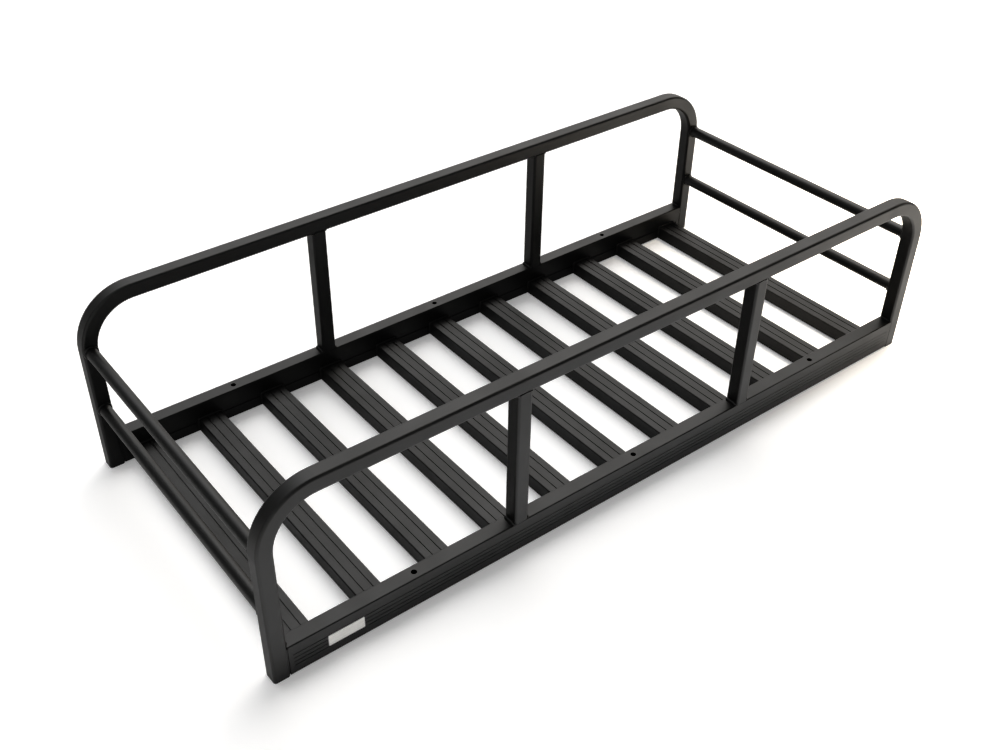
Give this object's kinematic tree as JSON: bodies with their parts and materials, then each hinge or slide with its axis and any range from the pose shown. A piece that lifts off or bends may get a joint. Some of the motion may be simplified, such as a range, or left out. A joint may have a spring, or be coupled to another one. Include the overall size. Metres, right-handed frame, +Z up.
{
  "type": "basket luggage rack",
  "caption": "Rigid welded luggage rack: a slatted floor between deep side rails, with a bent square-tube hoop over each long side and round rails across both ends.",
  "frame": {"origin": "centre of the footprint, at the level of the four feet", "axes": "+X along the long side towards the right, +Y from the label side (front) to the rear, +Z up"},
  "size_m": [1.48, 0.6388, 0.361],
  "materials": {
    "hoop_coat": "satin black powder coat on square aluminium tube",
    "rail_coat": "satin black powder coat on the extruded side rails",
    "round_coat": "satin black powder coat on round aluminium tube",
    "slat_coat": "satin black powder coat on the extruded slats",
    "weld_coat": "satin black powder coat over rippled weld beads",
    "plug_plastic": "matt black moulded plastic",
    "label_metal": "brushed blank label plate"
  },
  "bodies": {
    "root": {"side_hoop_front": "hoop_coat", "side_hoop_rear": "hoop_coat", "side_rail_front": "rail_coat", "side_rail_rear": "rail_coat", "end_block_front_left": "rail_coat", "end_block_front_right": "rail_coat", "end_block_rear_left": "rail_coat", "end_block_rear_right": "rail_coat", "post_front_left": "hoop_coat", "post_front_right": "hoop_coat", "post_rear_left": "hoop_coat", "post_rear_right": "hoop_coat", "end_rail_left_upper": "round_coat", "end_rail_left_lower": "round_coat", "end_rail_right_upper": "round_coat", "end_rail_right_lower": "round_coat", "slat_01": "slat_coat", "slat_02": "slat_coat", "slat_03": "slat_coat", "slat_04": "slat_coat", "slat_05": "slat_coat", "slat_06": "slat_coat", "slat_07": "slat_coat", "slat_08": "slat_coat", "slat_09": "slat_coat", "slat_10": "slat_coat", "slat_11": "slat_coat", "foot_plug_front_left": "plug_plastic", "foot_plug_front_right": "plug_plastic", "foot_plug_rear_left": "plug_plastic", "foot_plug_rear_right": "plug_plastic", "post_welds_front": "weld_coat", "post_welds_rear": "weld_coat", "corner_welds": "weld_coat", "end_rail_welds_left": "weld_coat", "end_rail_welds_right": "weld_coat", "slat_welds_front": "weld_coat", "slat_welds_rear": "weld_coat", "label_plate": "label_metal"}
  },
  "joints": []
}
